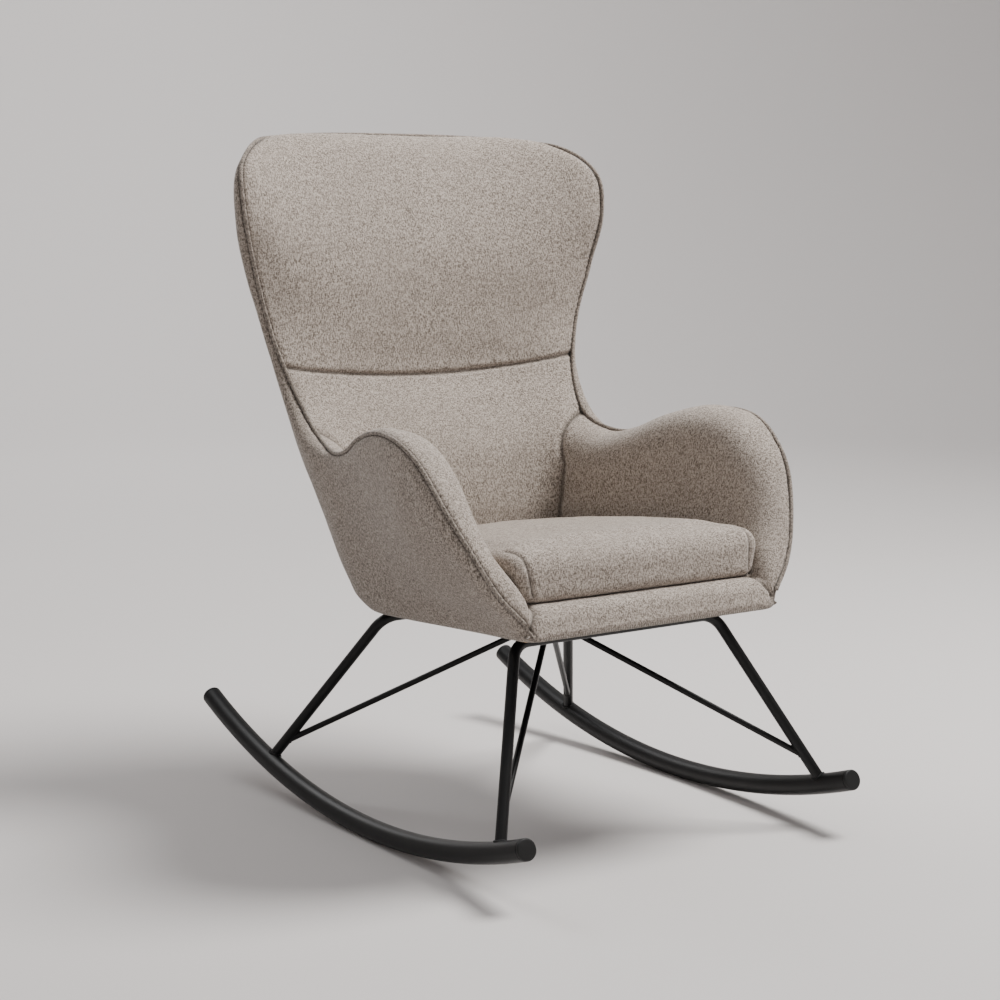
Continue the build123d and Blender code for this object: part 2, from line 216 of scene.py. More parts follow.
light_thread = (0.560, 0.490, 0.428)
dark_thread = (0.135, 0.110, 0.088)
cover_cloth = cloth("cover_cloth", light_thread, dark_thread)
cushion_cloth = cloth("cushion_cloth", light_thread, dark_thread, turn=(1.2, 0.1, 0.3))
# painted shade: the outside covers are the same cloth as the inside, given darker colours for the shade
# on their sides
outer_cloth_painted_shade = cloth("outer_cloth_painted_shade", (0.470, 0.410, 0.356), (0.110, 0.089, 0.071), 0.0009)
# painted shade: the piping is the same cloth as the covers, coloured darker for the shade along it
piping_cloth = cloth("piping_cloth", (0.400, 0.348, 0.300), (0.085, 0.069, 0.056), 0.0006)
deck_cloth = cloth("deck_cloth", (0.300, 0.270, 0.235), (0.170, 0.150, 0.128), 0.0004)
print("cloth threads every", thread_pitch * 1000, "mm")

# %% [markdown]
# ## The hard finishes
# The steel is powder coated: nearly black, half matt, with a faint orange peel.  The end plugs
# are moulded plastic and the bolts are blackened.  Plywood, zinc and foam are inside, where
# only an opened-up model shows them.


# %% Hard materials
def coated(name, colour, rough, grain_scale, relief, metallic=0.0, gloss=0.5):
    paint = Paint(name)
    grain = paint.noise(grain_scale, 2.0)
    cloudy = paint.noise(14.0, 3.0)
    lighter = tuple(1.5 * c + 0.004 for c in colour)
    paint.feed("Base Color", paint.mix(cloudy.smooth(0.35, 0.8) * 0.5, colour, lighter))
    paint.feed("Roughness", rough + (grain - 0.5) * 0.12 + (cloudy - 0.5) * 0.1)
    paint.set(Metallic=metallic, Specular_IOR_Level=gloss)
    paint.bump(grain, 0.25, relief)
    return paint.material


def plywood():
    paint = Paint("plywood")
    grain = paint.noise(60.0, 5.0, (0.2, 1.0, 4.0))
    plies = paint.node(
        "ShaderNodeTexWave",
        {"wave_type": "BANDS", "bands_direction": "Z"},
        Vector=paint.place,
        Scale=190.0,
        Distortion=0.4,
        output="Fac",
    )
    tone = grain * 0.7 + plies * 0.3
    paint.feed("Base Color", paint.mix(tone.smooth(0.3, 0.7), (0.42, 0.28, 0.16), (0.66, 0.50, 0.33)))
    paint.feed("Roughness", 0.72 - tone * 0.15)
    paint.bump(grain, 0.3, 0.0003)
    return paint.material


def foam():
    paint = Paint("foam")
    cells = paint.node("ShaderNodeTexVoronoi", {}, Vector=paint.place, Scale=900.0)
    paint.feed("Base Color", paint.mix(cells.smooth(0.1, 0.7), (0.45, 0.40, 0.28), (0.78, 0.72, 0.56)))
    paint.feed("Roughness", 0.9 + cells * 0.1)
    paint.bump(cells, 0.6, 0.0004)
    return paint.material


black_coat = coated("black_coat", (0.0040, 0.0040, 0.0042), 0.43, 1400.0, 0.0001, gloss=0.28)
black_plastic = coated("black_plastic", (0.007, 0.007, 0.007), 0.52, 900.0, 0.0001, gloss=0.35)
black_oxide = coated("black_oxide", (0.020, 0.020, 0.021), 0.45, 2400.0, 0.00005, 0.6)
zinc = coated("zinc", (0.42, 0.42, 0.40), 0.38, 1600.0, 0.00005, 1.0)
dust_cloth = coated("dust_cloth", (0.012, 0.012, 0.012), 0.92, 1300.0, 0.0003)
slot_materials = {
    "black_steel": black_coat,
    "bolt_steel": black_oxide,
    "cap_plastic": black_plastic,
    "plated_steel": zinc,
    "plywood": plywood(),
    "dust_cloth": dust_cloth,
    "cushion_foam": foam(),
    "deck_cloth": deck_cloth,
    "inside_fabric": cover_cloth,
    "outside_fabric": outer_cloth_painted_shade,
    "cushion_fabric": cushion_cloth,
    "piping_fabric": piping_cloth,
}
slots = {part["node"]: part["material_slot"] for part in frame["record"]["subparts"]}
for node, piece in frame["nodes"].items():
    piece.data.materials.clear()
    piece.data.materials.append(slot_materials[slots[node]])
print(len(slots), "CAD nodes have their finish")

# %% [markdown]
# ## Floor and lamps
# The floor runs up into a round wall, so that no horizon shows from any side.  One large soft
# lamp hangs high on the sitter's left.  A weak one fills from the other side, one lights the
# back and one washes the wall behind.

# %% Studio
stage_paint = Paint("stage_grey")
stage_tone = stage_paint.noise(0.35, 1.0)
stage_paint.feed("Base Color", stage_paint.mix(stage_tone, (0.655, 0.628, 0.615), (0.685, 0.658, 0.645)))
stage_paint.set(Roughness=0.85, Specular_IOR_Level=0.2)


def studio_bowl(flat_r=5.0, bend_r=3.0, wall_top=7.0, sides=96, steps=16):
    """Round floor whose edge bends up into a wall."""
    profile = [(0.0, 0.0), (1.5, 0.0), (flat_r, 0.0)]
    for i in range(1, steps + 1):
        t = 0.5 * math.pi * i / steps
        profile.append((flat_r + bend_r * math.sin(t), bend_r * (1 - math.cos(t))))
    profile.append((flat_r + bend_r, wall_top))
    verts = [(0.0, 0.0, 0.0)]
    faces = []
    for r, z in profile[1:]:
        for k in range(sides):
            a = 2 * math.pi * k / sides
            verts.append((r * math.cos(a), r * math.sin(a), z))
    for k in range(sides):
        faces.append((0, 1 + k, 1 + (k + 1) % sides))
    for ring in range(len(profile) - 2):
        for k in range(sides):
            a = 1 + ring * sides + k
            b = 1 + ring * sides + (k + 1) % sides
            faces.append((a, a + sides, b + sides, b))
    mesh = bpy.data.meshes.new("studio_floor")
    mesh.from_pydata(verts, [], faces)
    mesh.materials.append(stage_paint.material)
    for polygon in mesh.polygons:
        polygon.use_smooth = True
    floor = bpy.data.objects.new("studio_floor", mesh)
    scene.collection.objects.link(floor)
    return floor


def lamp(name, place, aim, size, watts, colour=(1.0, 1.0, 1.0)):
    data = bpy.data.lights.new(name, "AREA")
    data.shape = "DISK"
    data.size = size
    data.energy = watts
    data.color = colour
    made = bpy.data.objects.new(name, data)
    made.location = place
    made.rotation_euler = (Vector(aim) - Vector(place)).to_track_quat("-Z", "Y").to_euler()
    scene.collection.objects.link(made)


studio_bowl()
lamp("key", (1.75, -0.75, 3.5), (0.0, 0.0, 0.4), 1.7, 225.0, (1.0, 0.985, 0.965))
lamp("fill", (-2.8, -1.6, 2.2), (0.0, 0.0, 0.5), 2.4, 7.0, (0.97, 0.985, 1.0))
lamp("rim", (-0.6, 2.9, 2.8), (0.0, 0.0, 0.7), 1.8, 48.0)
lamp("wall_wash", (1.2, 4.3, 3.4), (3.2, 7.0, 0.6), 3.0, 120.0)
world = bpy.data.worlds.new("studio")
world.use_nodes = True
world.node_tree.nodes["Background"].inputs[0].default_value = (0.93, 0.93, 0.95, 1.0)
world.node_tree.nodes["Background"].inputs[1].default_value = 0.42
scene.world = world
print("studio ready")

# %% [markdown]
# ## The shell's shape
# The shell was drawn as level sections: the outside and the hollow that the sitter fills.  Each
# level is a straight side that turns into a rounded back corner.  The side view is one curve:
# up the arm, over it, down behind it, up the wing and over the top.  All numbers are in
# millimetres, with y counted from the line where the runners touch the floor.

# %% Sections and edges
runner_r_mm = 1175.0
tube_r_mm = 15.0
rear_sweep = math.radians(23.6)
front_sweep = math.radians(19.3)
contact_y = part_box("runner_left")[1].y - (runner_r_mm + tube_r_mm) * math.sin(rear_sweep) / 1000
print("floor contact at y =", round(contact_y, 4))

# height, front half width, rear half width, back, corner depth, squareness
OUTSIDE = np.array([
    (286, 190, 192, 165, 140, 2.9),
    (300, 205, 210, 188, 145, 2.9),
    (319, 216, 223, 211, 148, 2.9),
    (342, 228, 228, 228, 150, 2.9),
    (383, 260, 239, 248, 154, 2.9),
    (424, 285, 249, 266, 161, 2.86),
    (479, 308, 261, 291, 169, 2.84),
    (537, 320, 276, 316, 177, 2.8),
    (592, 326, 289, 336, 188, 2.75),
    (684, 316, 316, 365, 210, 2.6),
    (798, 351, 351, 391, 236, 2.4),
    (870, 368, 368, 402, 250, 2.3),
    (935, 368, 368, 404, 251, 2.3),
    (980, 350, 350, 400, 251, 2.3),
    (1020, 325, 325, 392, 251, 2.3),
])
INSIDE = np.array([
    (296, 165, 160, 140, 55, 5.0),
    (369, 202, 184, 186, 60, 5.0),
    (430, 226, 194, 190, 62, 5.0),
    (480, 238, 196, 197, 68, 4.8),
    (540, 242, 206, 214, 85, 4.2),
    (590, 244, 226, 237, 105, 3.3),
    (625, 246, 240, 260, 110, 2.7),
    (650, 252, 252, 264, 105, 2.5),
    (700, 264, 264, 260, 95, 2.4),
    (760, 280, 280, 268, 84, 2.2),
    (850, 298, 298, 290, 78, 2.2),
    (930, 302, 302, 316, 82, 2.2),
    (990, 296, 296, 346, 90, 2.2),
    (1030, 290, 290, 372, 95, 2.2),
])


def underside(y):
    """Height of the shell's flat underside."""
    return 323.0 - 0.06 * (y + 291.0)


SIDE_EDGE = np.array([
    (-306, underside(-306.0)), (-287, 385), (-252, 464), (-206, 538), (-142, 584), (-80, 593),
    (0, 577), (70, 549), (125, 539), (185, 557), (238, 620), (262, 700), (261, 800), (254, 875),
    (266, 945), (300, 990), (352, 1006), (398, 992), (424, 950),
])
PIPING = np.array([
    (204, -305, 326), (214, -303, 341), (251, -288, 384), (280, -262, 444), (303, -230, 503),
    (313, -180, 560), (317, -110, 591), (308, -36, 586), (289, 42, 559), (262, 118, 539),
    (250, 182, 555), (258, 236, 616), (281, 261, 700), (309, 262, 800), (328, 254, 880),
    (327, 266, 940), (300, 300, 988), (252, 352, 1003), (150, 374, 1004), (0, 376, 1004),
], float)


def ease(xs, ys, x):
    """Smooth curve through points, as a cubic with matching slopes."""
    slopes = np.gradient(ys, xs)
    x = np.clip(x, xs[0], xs[-1])
    i = np.clip(np.searchsorted(xs, x) - 1, 0, len(xs) - 2)
    span = xs[i + 1] - xs[i]
    t = (x - xs[i]) / span
    a = 2 * t**3 - 3 * t**2 + 1
    b = t**3 - 2 * t**2 + t
    c = -2 * t**3 + 3 * t**2
    d = t**3 - t**2
    return a * ys[i] + b * span * slopes[i] + c * ys[i + 1] + d * span * slopes[i + 1]


def smooth_path(points, per_span=10):
    """Points along a smooth curve through the given ones."""
    lengths = np.linalg.norm(np.diff(points, axis=0), axis=1)
    knots = np.concatenate([[0.0], np.cumsum(lengths)])
    count = per_span * (len(points) - 1) + 1
    at = np.interp(np.linspace(0, len(points) - 1, count), np.arange(len(points)), knots)
    return np.stack([ease(knots, points[:, k], at) for k in range(points.shape[1])], axis=1)


edge_line = smooth_path(SIDE_EDGE.astype(float), 14)
print("side view has", len(edge_line), "points")

# %% [markdown]
# ## One formula for the padded shell
# Foam rounds every edge it is pulled over.  So the shell is written as a distance formula: the
# outside, the side view, the front view and the hollow, joined by soft maximums whose width is
# the roundness of the roll.  A mesh is then laid on the place where the formula is zero.

# %% Distance formula
SIDE_STEP = 4.0
side_y = np.arange(-380.0, 560.0, SIDE_STEP)
side_z = np.arange(200.0, 1100.0, SIDE_STEP)


def side_distance_table():
    """Distance to the side view's outline over a grid, negative inside."""
    closing = np.array([(540.0, 900.0), (540.0, 150.0), (-312.0, 150.0)])
    outline = np.concatenate([edge_line, closing])
    yy, zz = np.meshgrid(side_y, side_z, indexing="ij")
    points = np.stack([yy.ravel(), zz.ravel()], axis=1)
    nearest = np.full(len(points), 1e9)
    crossings = np.zeros(len(points), int)
    for a, b in zip(outline, np.roll(outline, -1, axis=0)):
        along = b - a
        t = np.clip(((points - a) @ along) / (along @ along), 0, 1)
        nearest = np.minimum(nearest, np.linalg.norm(points - a - t[:, None] * along, axis=1))
        spans = (a[1] > points[:, 1]) != (b[1] > points[:, 1])
        with np.errstate(divide="ignore", invalid="ignore"):
            cut = a[0] + (points[:, 1] - a[1]) * along[0] / along[1]
        crossings += spans & (points[:, 0] < cut)
    signed = np.where(crossings % 2 == 1, -nearest, nearest)
    return signed.reshape(yy.shape)


side_table = side_distance_table()


def side_distance(y, z):
    i = np.clip((y - side_y[0]) / SIDE_STEP, 0, len(side_y) - 1.001)
    j = np.clip((z - side_z[0]) / SIDE_STEP, 0, len(side_z) - 1.001)
    i0 = i.astype(int)
    j0 = j.astype(int)
    u = i - i0
    v = j - j0
    low = side_table[i0, j0] * (1 - u) + side_table[i0 + 1, j0] * u
    high = side_table[i0, j0 + 1] * (1 - u) + side_table[i0 + 1, j0 + 1] * u
    return low * (1 - v) + high * v


def tub_distance(p, rows):
    """How far outside a tub of level sections a point is."""
    z = p[:, 2]
    front, rear, back, depth, power = (ease(rows[:, 0], rows[:, k], z) for k in range(1, 6))
    x = np.abs(p[:, 0]) + 1e-6
    y = p[:, 1]
    start = back - depth
    t = np.clip((y + 190.0) / (start + 190.0), 0, 1)
    half = front + (rear - front) * t * t * (3 - 2 * t)
    u = (x / half) ** power
    v = (np.maximum(y - start, 0) / depth) ** power
    r = (u + v) ** (1 / power)
    return (r - 1) * (half * u + depth * v) / (u + v)


def soft_max(a, b, width):
    h = np.maximum(width - np.abs(a - b), 0) / width
    return np.maximum(a, b) + h * h * width / 4


def step(value, low, high):
    t = np.clip((value - low) / (high - low), 0, 1)
    return t * t * (3 - 2 * t)


seat_rise_mm = 46.5
lift_mm = 0.5                   # the covers' folded edge stays this far above the dust cover


def shell_distance(p):
    """The padded shell: negative inside, in millimetres."""
    x, y, z = np.abs(p[:, 0]), p[:, 1], p[:, 2]
    height = z - underside(y)
    outer = tub_distance(p, OUTSIDE)
    corner = np.stack([x - 256.0, z - 914.0], axis=1)
    front = np.linalg.norm(np.maximum(corner, 0), axis=1) + np.minimum(corner.max(1), 0) - 92.0
    view = soft_max(side_distance(y, z), front, 8.0)
    body = soft_max(outer, view, 26.0)
    hollow = tub_distance(p, INSIDE)
    cut = np.minimum(-hollow, height - seat_rise_mm)
    roll = 22.0 + 34.0 * step(z, 380.0, 440.0) - 22.0 * step(z, 640.0, 900.0)
    body = soft_max(body, cut, roll)
    return soft_max(body, lift_mm - height, 7.0)


def settle(p, field, rounds=6, limit=6.0):
    """Move points straight onto the zero of a distance formula; also return its normals."""
    h = 0.6
    for _ in range(rounds):
        value = field(p)
        slope = np.zeros_like(p)
        for k in range(3):
            nudge = np.zeros(3)
            nudge[k] = h
            slope[:, k] = (field(p + nudge) - field(p - nudge)) / (2 * h)
        size = np.maximum((slope**2).sum(1), 0.05)
        move = -(value / size)[:, None] * slope
        length = np.linalg.norm(move, axis=1)[:, None]
        p = p + move * np.minimum(1.0, limit / np.maximum(length, 1e-9))
    return p, slope / np.sqrt(size)[:, None]


print("formula ready")


# %% [markdown]
# ## A mesh on the formula
# The CAD shell nodes are joined and remeshed with small even voxels, which gives one closed
# skin.  Its points are then settled onto the formula.

# %% Mesh helpers
def to_mm(co):
    return (co - np.array([0.0, contact_y, 0.0])) * 1000.0


def to_m(p):
    return p / 1000.0 + np.array([0.0, contact_y, 0.0])


def read_points(mesh):
    co = np.empty(len(mesh.vertices) * 3)
    mesh.vertices.foreach_get("co", co)
    return co.reshape(-1, 3)


def write_points(mesh, co):
    mesh.vertices.foreach_set("co", np.ascontiguousarray(co, dtype=np.float32).ravel())
    mesh.update()


@contextlib.contextmanager
def edited(mesh):
    """Open a mesh for editing and write it back."""
    builder = bmesh.new()
    builder.from_mesh(mesh)
    yield builder
    builder.to_mesh(mesh)
    builder.free()


def shade_smooth(mesh):
    mesh.polygons.foreach_set("use_smooth", np.ones(len(mesh.polygons), bool))


def add_painted_seam_shade(mesh, values):
    """Store painted shade for the folds at the seams: how much the cloth darkens its colour at each
    point.
    """
    shade = mesh.attributes.new("seam", "FLOAT", "POINT")
    shade.data.foreach_set("value", values.astype(np.float32))


def new_piece(name, mesh):
    made = bpy.data.objects.new(name, mesh)
    scene.collection.objects.link(made)
    return made


def baked(piece):
    """Turn a piece and its modifiers into a plain mesh."""
    bpy.context.view_layer.update()
    graph = bpy.context.evaluated_depsgraph_get()
    mesh = bpy.data.meshes.new_from_object(piece.evaluated_get(graph))
    name = piece.name
    old = piece.data
    bpy.data.objects.remove(piece)
    if isinstance(old, bpy.types.Mesh):
        bpy.data.meshes.remove(old)
    mesh.name = name
    return new_piece(name, mesh)


def joined_copy(name, nodes):
    """One mesh with copies of several CAD nodes, doubles merged."""
    builder = bmesh.new()
    for node in nodes:
        builder.from_mesh(frame["nodes"][node].data)
    bmesh.ops.remove_doubles(builder, verts=builder.verts, dist=1e-5)
    mesh = bpy.data.meshes.new(name)
    builder.to_mesh(mesh)
    builder.free()
    return new_piece(name, mesh)


def voxel_skin(name, nodes, voxel):
    piece = joined_copy(name, nodes)
    remesh = piece.modifiers.new("remesh", "REMESH")
    remesh.mode = "VOXEL"
    remesh.voxel_size = voxel
    return baked(piece)


def largest_island(piece):
    """Keep only the largest connected part of a mesh."""
    with edited(piece.data) as builder:
        seen = set()
        best = []
        for start in builder.verts:
            if start in seen:
                continue
            seen.add(start)
            stack = [start]
            island = []
            while stack:
                here = stack.pop()
                island.append(here)
                for edge in here.link_edges:
                    other = edge.other_vert(here)
                    if other not in seen:
                        seen.add(other)
                        stack.append(other)
            best = max(best, island, key=len)
        keep = set(best)
        spare = [v for v in builder.verts if v not in keep]
        bmesh.ops.delete(builder, geom=spare, context="VERTS")
        bmesh.ops.triangulate(builder, faces=builder.faces)


shell_prefixes = ("arm_", "back_", "front_rail", "seat_", "outside_", "frame_ring")
shell_nodes = [node for node in sorted(frame["nodes"]) if node.startswith(shell_prefixes)]
shell_voxel = 0.0040
shell = voxel_skin("shell_skin", shell_nodes, shell_voxel)
largest_island(shell)
points, normals = settle(to_mm(read_points(shell.data)), shell_distance)
print("shell skin has", len(points), "points; worst miss",
      round(float(np.abs(shell_distance(points)).max()), 2), "mm")

# %% [markdown]
# ## Even out the skin
# A remeshed skin has stair steps and uneven cells.  Points slide along the surface towards the
# middle of their neighbours and settle back, which leaves smooth even triangles.


# %% Even triangles
def edge_pairs(mesh):
    pairs = np.empty(len(mesh.edges) * 2, int)
    mesh.edges.foreach_get("vertices", pairs)
    return pairs.reshape(-1, 2)


def evened(p, n, pairs, rounds=6, share=0.5):
    """Slide points along the surface towards the mean of their neighbours."""
    count = np.bincount(pairs.ravel(), minlength=len(p))[:, None]
    for _ in range(rounds):
        total = np.zeros_like(p)
        for k in range(3):
            total[:, k] = np.bincount(pairs[:, 0], p[pairs[:, 1], k], len(p))
            total[:, k] += np.bincount(pairs[:, 1], p[pairs[:, 0], k], len(p))
        move = total / np.maximum(count, 1) - p
        move -= (move * n).sum(1)[:, None] * n
        p = p + share * move
    return p


def relaxed(piece, p, n, field):
    """Even the triangles out and settle them again, twice."""
    pairs = edge_pairs(piece.data)
    for _ in range(2):
        p = evened(p, n, pairs)
        p, n = settle(p, field, 3)
    return p, n


points, normals = relaxed(shell, points, normals, shell_distance)
write_points(shell.data, to_m(points))
print("skin evened; worst miss", round(float(np.abs(shell_distance(points)).max()), 2), "mm")

# %% [markdown]
# ## Where the seams run
# Every seam is a line on the skin.  The piping runs up the front of each arm, over it, up the
# wing and across behind the top.  Plain seams part the lumbar pad from the back, the arms from
# the back, and the front rail from the arms.

# %% Seam lines
half_piping = smooth_path(PIPING, 10)
whole_piping = np.concatenate([half_piping, (half_piping * np.array([-1.0, 1.0, 1.0]))[-2::-1]])
piping_line, piping_normal = settle(whole_piping, shell_distance, 10, 8.0)
piping_outer = tub_distance(piping_line, OUTSIDE)
piping_tree = kdtree.KDTree(len(piping_line))
for i, spot in enumerate(piping_line):
    piping_tree.insert(spot, i)
piping_tree.balance()
rail_y = -262.0
mitre_z = 369.0
mitre_half = 196.0
mitre_lean = 0.58
cover_seam_x = 180.0
shallow_mm = 2.5                # keeps the seams of the outside back shallower


def lumbar_seam_z(x):
    return 631.0 + 22.0 * (x / 264.0) ** 2


def arm_seam_y(z):
    return 173.0 + 27.0 * np.clip((z - 484.0) / 87.0, 0, 1)


def near_piping(p):
    """Distance to the piping, and how far outside of it each point is."""
    found = [piping_tree.find(spot)[1:] for spot in p]
    index = np.array([f[0] for f in found])
    away = np.array([f[1] for f in found])
    return away, tub_distance(p, OUTSIDE) - piping_outer[index]


def seams(p):
    """Distance of each point to the piping and to the nearest plain seam."""
    x, y, z = np.abs(p[:, 0]), p[:, 1], p[:, 2]
    away, out = near_piping(p)
    inner = (out < 0) & (z - underside(y) > 3.0)
    far = np.full(len(p), 1e3)
    in_hollow = (tub_distance(p, INSIDE) < 70.0) & inner
    lumbar = np.where(in_hollow & (y > 190), np.abs(z - lumbar_seam_z(x)), far)
    arm = np.where(in_hollow & (z < 600) & (x > 150), np.abs(y - arm_seam_y(z)), far)
    lean = (x - mitre_half - mitre_lean * (mitre_z - z)) / math.hypot(1, mitre_lean)
    mitre = np.where(inner & (y < rail_y) & (z < mitre_z + 6), np.abs(lean), far)
    cover = np.where((out > 0) & (y > 0), np.abs(x - cover_seam_x), far)
    cover = np.hypot(cover, shallow_mm)
    return away, np.minimum(np.minimum(lumbar, arm), np.minimum(mitre, cover)), out


def split_near(mesh, close, cuts, outwards=False):
    """Split the triangles whose points are close to a seam into smaller ones."""
    with edited(mesh) as builder:
        chosen = [e for e in builder.edges if all(close[v.index] for v in e.verts)]
        bmesh.ops.subdivide_edges(builder, edges=chosen, cuts=cuts, use_grid_fill=True)
        bmesh.ops.triangulate(builder, faces=[f for f in builder.faces if len(f.verts) > 3])
        if outwards:
            bmesh.ops.recalc_face_normals(builder, faces=builder.faces)


for seam_reach in (13.0, 7.0):
    away, plain, _ = seams(to_mm(read_points(shell.data)))
    split_near(shell.data, np.minimum(away, plain) < seam_reach, 1)
points, normals = settle(to_mm(read_points(shell.data)), shell_distance, 4)
points = evened(points, normals, edge_pairs(shell.data), 2, 0.35)
points, normals = settle(points, shell_distance, 3)
print("refined near the seams to", len(points), "points")

# %% [markdown]
# ## Sewn in
# A seam pulls the cloth down into the foam, so each line sits in a soft-edged groove.  The thread
# also gathers the cloth a little, which shows as faint ripples square to the seam.  The foam
# itself is never quite even, which a slow noise of under a millimetre gives.


# %% Grooves and softness
def slow_noise(p, size, seed):
    """Smooth random height from a few sine waves in fixed random directions."""
    chance = np.random.default_rng(seed)
    total = np.zeros(len(p))
    for _ in range(14):
        direction = chance.normal(size=3)
        direction /= np.linalg.norm(direction)
        waves = 2 * math.pi / (size * chance.uniform(0.7, 1.6))
        total += np.sin(p @ direction * waves + chance.uniform(0, 2 * math.pi))
    return total / math.sqrt(14)


groove_mm = 4.2
groove_width = 4.0
piping_groove_mm = 2.4
away, plain, out = seams(points)
sink = groove_mm * np.exp(-((plain / groove_width) ** 2))
sink += 1.3 * np.exp(-((plain / 15.0) ** 2))
sink += piping_groove_mm * np.exp(-((away / 4.8) ** 2))
# painted shade: dark along the plain seams and in a band just beside the piping, where shade falls in
# the fold
painted_seam_shade = np.exp(-((plain / 2.2) ** 2)) + 0.8 * np.exp(-(((away - 3.2) / 2.0) ** 2))
pucker = slow_noise(points, 16.0, 5) * 0.35 * np.exp(-((np.minimum(plain, away) / 16.0) ** 2))
soft = slow_noise(points, 150.0, 3) * 0.7 + slow_noise(points, 55.0, 4) * 0.22
free = step(points[:, 2] - underside(points[:, 1]), 2.0, 20.0)
points = points + normals * ((pucker + soft - sink) * free)[:, None]
write_points(shell.data, to_m(points))
print("deepest seam", round(float(sink.max()), 1), "mm")

# %% [markdown]
# ## Cut into covers
# The skin is cut along the seams into the pieces a pattern cutter would draw.  Each piece is
# then given 4 mm of thickness inwards, for the cloth with its wadding, so that it is closed.

# %% Covers
PIECES = [
    "arm_padding_left", "arm_padding_right", "back_padding_upper", "back_padding_lumbar",
    "front_rail_padding", "seat_pad", "outside_back_cover", "outside_arm_cover_left",
    "outside_arm_cover_right",
]


def piece_of_faces(p):
    """Which cover each face centre belongs to, as an index into PIECES."""
    x, y, z = p[:, 0], p[:, 1], p[:, 2]
    height = z - underside(y)
    _, out = near_piping(p)
    flat = (height < 4.0) & (tub_distance(p, OUTSIDE) < -26.0)
    left = x > 0
    label = np.where(left, 0, 1)
    label = np.where(y > arm_seam_y(z), 3, label)
    label = np.where((y > 190) & (z > lumbar_seam_z(x)), 2, label)
    seat = (height - seat_rise_mm > -tub_distance(p, INSIDE)) & (height < seat_rise_mm + 9)
    label = np.where(seat & (y > rail_y), 5, label)
    rail = (np.abs(x) < mitre_half + mitre_lean * (mitre_z - z)) & (y < rail_y) & (z < mitre_z + 6)
    label = np.where(rail, 4, label)
    outside = np.where(left, 7, 8)
    outside = np.where((np.abs(x) < cover_seam_x) & (y > 0), 6, outside)
    label = np.where(out > 0, outside, label)
    return np.where(flat, 5, label)


triangles = np.empty(len(shell.data.polygons) * 3, int)
shell.data.polygons.foreach_get("vertices", triangles)
triangles = triangles.reshape(-1, 3)
labels = piece_of_faces(points[triangles].mean(axis=1))
skin_mm = 4.0
covers = {}
for index, node in enumerate(PIECES):
    mine = triangles[labels == index]
    used, packed = np.unique(mine, return_inverse=True)
    packed = packed.reshape(-1, 3)
    mesh = bpy.data.meshes.new(node + "_cloth")
    mesh.from_pydata(to_m(points[used]).tolist(), [], packed.tolist())
    shade_smooth(mesh)
    mesh.materials.append(slot_materials[slots[node]])
    # the attribute carries the painted seam shade for the cloth
    add_painted_seam_shade(mesh, np.clip(painted_seam_shade[used], 0, 1))
    cover = new_piece(node + "_cloth", mesh)
    thick = cover.modifiers.new("thickness", "SOLIDIFY")
    thick.thickness = skin_mm / 1000
    thick.offset = -1.0
    thick.use_even_offset = False
    cover = baked(cover)
    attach(cover, "chair")
    covers[node] = cover
    print(node, len(cover.data.polygons), "faces")
bpy.data.objects.remove(shell)
for node, cover in covers.items():
    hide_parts(node)

# %% [markdown]
# ## The loose cushion
# A foam block in a sewn case.  The case is cut a little too large for a flat block, so it domes,
# and its top edge rolls over softly while the foot stays tight to the rail.

# %% Cushion
cushion_front_mm = -279.0
cushion_top_mm = 446.5
cushion_fall = 0.105
cushion_low_mm = seat_rise_mm + 0.6
crown_mm = 9.0


def cushion_distance(p):
    x, y, z = np.abs(p[:, 0]), p[:, 1], p[:, 2]
    sides = tub_distance(p, INSIDE) + 0.8
    crown = crown_mm * np.clip(1 - (x / 215.0) ** 2, 0, 1)
    crown = crown * np.clip(1 - ((y + 60) / 225.0) ** 2, 0, 1)
    top = (z - cushion_top_mm + cushion_fall * (y - cushion_front_mm) - crown) * 0.99
    bulge = 4.0 * np.clip(1 - ((z - 405.0) / 42.0) ** 2, 0, 1)
    front = cushion_front_mm + 1.0 - y - bulge * np.clip(1 - (x / 200.0) ** 2, 0, 1) + 4.0
    low = cushion_low_mm - (z - underside(y))
    body = soft_max(sides, front, 28.0)
    body = soft_max(body, top, 48.0)
    return soft_max(body, low, 12.0)


cushion = voxel_skin("cushion_cloth", ["cushion_cover"], 0.0045)
largest_island(cushion)
soft_points, soft_normals = settle(to_mm(read_points(cushion.data)), cushion_distance, 10)
soft_points, soft_normals = relaxed(cushion, soft_points, soft_normals, cushion_distance)
write_points(cushion.data, to_m(soft_points))
print("cushion skin", len(soft_points), "points")

# %% [markdown]
# The case is then blown up against its own cloth for twenty frames, without gravity, so that the
# weave's pull makes the shallow hollows and swells that a flat formula cannot.

# %% Cushion cloth
puff_cap_mm = 3.0


def inflated(piece, pressure=4.0, frames=20):
    """Blow a closed cloth up; returns its points."""
    sim = piece.modifiers.new("cloth", "CLOTH")
    sim.settings.quality = 5
    sim.settings.mass = 0.3
    sim.settings.tension_stiffness = 30.0
    sim.settings.compression_stiffness = 30.0
    sim.settings.bending_stiffness = 0.8
    sim.settings.use_pressure = True
    sim.settings.uniform_pressure_force = pressure
    sim.settings.effector_weights.gravity = 0.0
    sim.point_cache.frame_start = 1
    sim.point_cache.frame_end = frames
    for number in range(1, frames + 1):
        scene.frame_set(number)
    graph = bpy.context.evaluated_depsgraph_get()
    moved = read_points(piece.evaluated_get(graph).data)
    piece.modifiers.remove(sim)
    scene.frame_set(1)
    return moved


blown = to_mm(inflated(cushion))
shift = ((blown - soft_points) * soft_normals).sum(1)
shift = shift - np.median(shift)
shift = np.clip(shift, -puff_cap_mm, puff_cap_mm)
sides_free = step(soft_points[:, 2] - underside(soft_points[:, 1]), 55.0, 80.0)
soft_points = soft_points + soft_normals * (shift * sides_free)[:, None]
print("cloth moved", round(float(np.abs(shift).max()), 1), "mm at most")

# %% [markdown]
# The case's front corners are closed with a short curved seam, and slow dents lie over the top.


